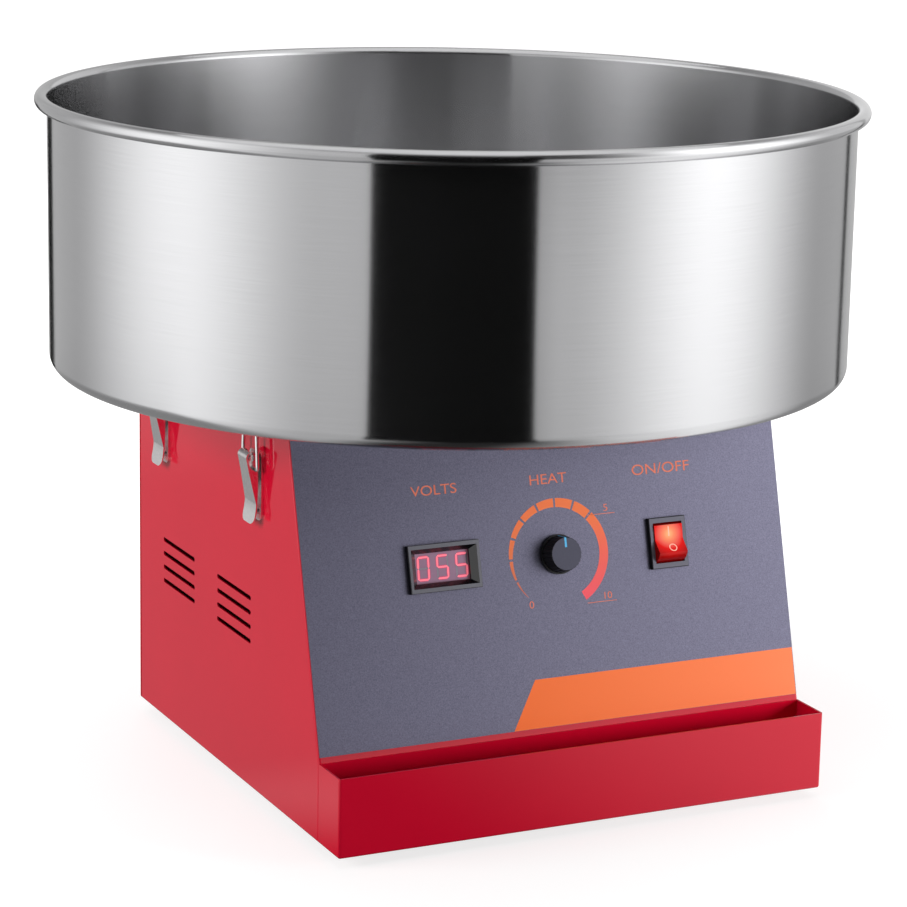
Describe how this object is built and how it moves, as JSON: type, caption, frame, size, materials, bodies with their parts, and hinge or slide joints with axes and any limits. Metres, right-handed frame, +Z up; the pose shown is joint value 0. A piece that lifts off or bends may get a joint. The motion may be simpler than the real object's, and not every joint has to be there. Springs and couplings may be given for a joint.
{
  "type": "cotton candy machine",
  "caption": "Electric cotton candy machine: a wide spun steel bowl latched on a red housing with an inclined control panel and an open tray in front.",
  "frame": {"origin": "on the floor below the axis of the bowl and of the motor", "axes": "+Z up, +X the operator's right when facing the panel, -Y the front with the tray"},
  "size_m": [0.5199, 0.52, 0.4195],
  "materials": {
    "red_paint": "gloss powder coat",
    "zinc_steel": "zinc plated",
    "bright_screw": "bright plated",
    "black_rubber": "matte",
    "bowl_steel": "finely brushed",
    "latch_steel": "polished",
    "turned_aluminium": "turned",
    "motor_paint": "satin",
    "bearing_steel": "ground",
    "lamination_steel": "stacked sheet",
    "insulator": "moulded",
    "carbon": "pressed carbon",
    "brass": "turned",
    "panel_film": "fine texture",
    "black_plastic": "smooth",
    "red_window": "tinted",
    "circuit_board": "solder mask",
    "knob_plastic": "moulded",
    "pointer_blue": "inlay",
    "lit_rocker": "lit from inside",
    "heater_steel": "scaled by heat"
  },
  "bodies": {
    "machine": {"housing_shell": "red_paint", "top_plate": "red_paint", "rear_panel": "red_paint", "base_plate": "zinc_steel", "front_tray": "red_paint", "housing_screws": "bright_screw", "rubber_feet": "black_rubber", "bowl": "bowl_steel", "bowl_strikes": "latch_steel", "latch_rivets": "bright_screw", "bowl_gasket": "black_rubber", "centre_collar": "turned_aluminium", "latch_bases": "latch_steel", "latch_pins": "bright_screw", "motor_case": "motor_paint", "motor_bells": "turned_aluminium", "motor_bearings": "bearing_steel", "motor_stator": "lamination_steel", "motor_plate": "zinc_steel", "motor_pillars": "zinc_steel", "motor_dampers": "black_rubber", "motor_screws": "bright_screw", "brush_holder": "insulator", "carbon_brushes": "carbon", "brush_springs": "brass", "panel_overlay": "panel_film", "voltmeter_case": "black_plastic", "voltmeter_window": "red_window", "voltmeter_board": "circuit_board", "potentiometer": "zinc_steel", "potentiometer_nut": "bright_screw", "switch_frame": "black_plastic", "power_board": "circuit_board", "heat_sink": "turned_aluminium", "cord_gland": "black_plastic", "gland_nut": "black_plastic"},
    "spinner": {"spindle": "bearing_steel", "motor_armature": "lamination_steel", "cooling_fan": "insulator", "ring_hub": "insulator", "slip_rings": "brass", "head_base": "turned_aluminium", "heating_element": "heater_steel", "head_band": "bowl_steel", "head_lid": "turned_aluminium", "head_nut": "bright_screw", "head_screws": "bright_screw"},
    "knob": {"knob": "knob_plastic", "knob_pointer": "pointer_blue", "knob_shaft": "zinc_steel"},
    "rocker": {"rocker": "lit_rocker"},
    "latch_lever_1": {"latch_lever_1": "latch_steel"},
    "latch_bail_1": {"latch_bail_1": "latch_steel"},
    "latch_lever_2": {"latch_lever_2": "latch_steel"},
    "latch_bail_2": {"latch_bail_2": "latch_steel"},
    "latch_lever_3": {"latch_lever_3": "latch_steel"},
    "latch_bail_3": {"latch_bail_3": "latch_steel"},
    "latch_lever_4": {"latch_lever_4": "latch_steel"},
    "latch_bail_4": {"latch_bail_4": "latch_steel"}
  },
  "joints": [
    {"name": "spinner_spin", "type": "hinge", "parent": "machine", "child": "spinner", "pos_m": [0, 0, 0.27], "axis": [0, 0, 1], "continuous": true},
    {"name": "knob_turn", "type": "hinge", "parent": "machine", "child": "knob", "pos_m": [0.0048, -0.14753, 0.1576], "axis": [0, -0.9662, 0.2579], "range_deg": [-150, 135]},
    {"name": "rocker_tilt", "type": "hinge", "parent": "machine", "child": "rocker", "pos_m": [0.0799, -0.1457, 0.15711], "axis": [1, 0, 0], "range_deg": [0, 30]},
    {"name": "lever_1_swing", "type": "hinge", "parent": "machine", "child": "latch_lever_1", "pos_m": [-0.16935, -0.0785, 0.2185], "axis": [0, 1, 0], "range_deg": [0, 100]},
    {"name": "bail_1_swing", "type": "hinge", "parent": "latch_lever_1", "child": "latch_bail_1", "pos_m": [-0.16745, -0.0785, 0.2117], "axis": [0, 1, 0], "range_deg": [-85, 0]},
    {"name": "lever_2_swing", "type": "hinge", "parent": "machine", "child": "latch_lever_2", "pos_m": [-0.16935, 0.0785, 0.2185], "axis": [0, 1, 0], "range_deg": [0, 100]},
    {"name": "bail_2_swing", "type": "hinge", "parent": "latch_lever_2", "child": "latch_bail_2", "pos_m": [-0.16745, 0.0785, 0.2117], "axis": [0, 1, 0], "range_deg": [-85, 0]},
    {"name": "lever_3_swing", "type": "hinge", "parent": "machine", "child": "latch_lever_3", "pos_m": [0.16935, -0.0785, 0.2185], "axis": [0, -1, 0], "range_deg": [0, 100]},
    {"name": "bail_3_swing", "type": "hinge", "parent": "latch_lever_3", "child": "latch_bail_3", "pos_m": [0.16745, -0.0785, 0.2117], "axis": [0, -1, 0], "range_deg": [-85, 0]},
    {"name": "lever_4_swing", "type": "hinge", "parent": "machine", "child": "latch_lever_4", "pos_m": [0.16935, 0.0785, 0.2185], "axis": [0, -1, 0], "range_deg": [0, 100]},
    {"name": "bail_4_swing", "type": "hinge", "parent": "latch_lever_4", "child": "latch_bail_4", "pos_m": [0.16745, 0.0785, 0.2117], "axis": [0, -1, 0], "range_deg": [-85, 0]}
  ],
  "couplings": [
    {"joint": "bail_1_swing", "follows": "lever_1_swing", "ratio": -0.78},
    {"joint": "bail_2_swing", "follows": "lever_2_swing", "ratio": -0.78},
    {"joint": "bail_3_swing", "follows": "lever_3_swing", "ratio": -0.78},
    {"joint": "bail_4_swing", "follows": "lever_4_swing", "ratio": -0.78}
  ]
}
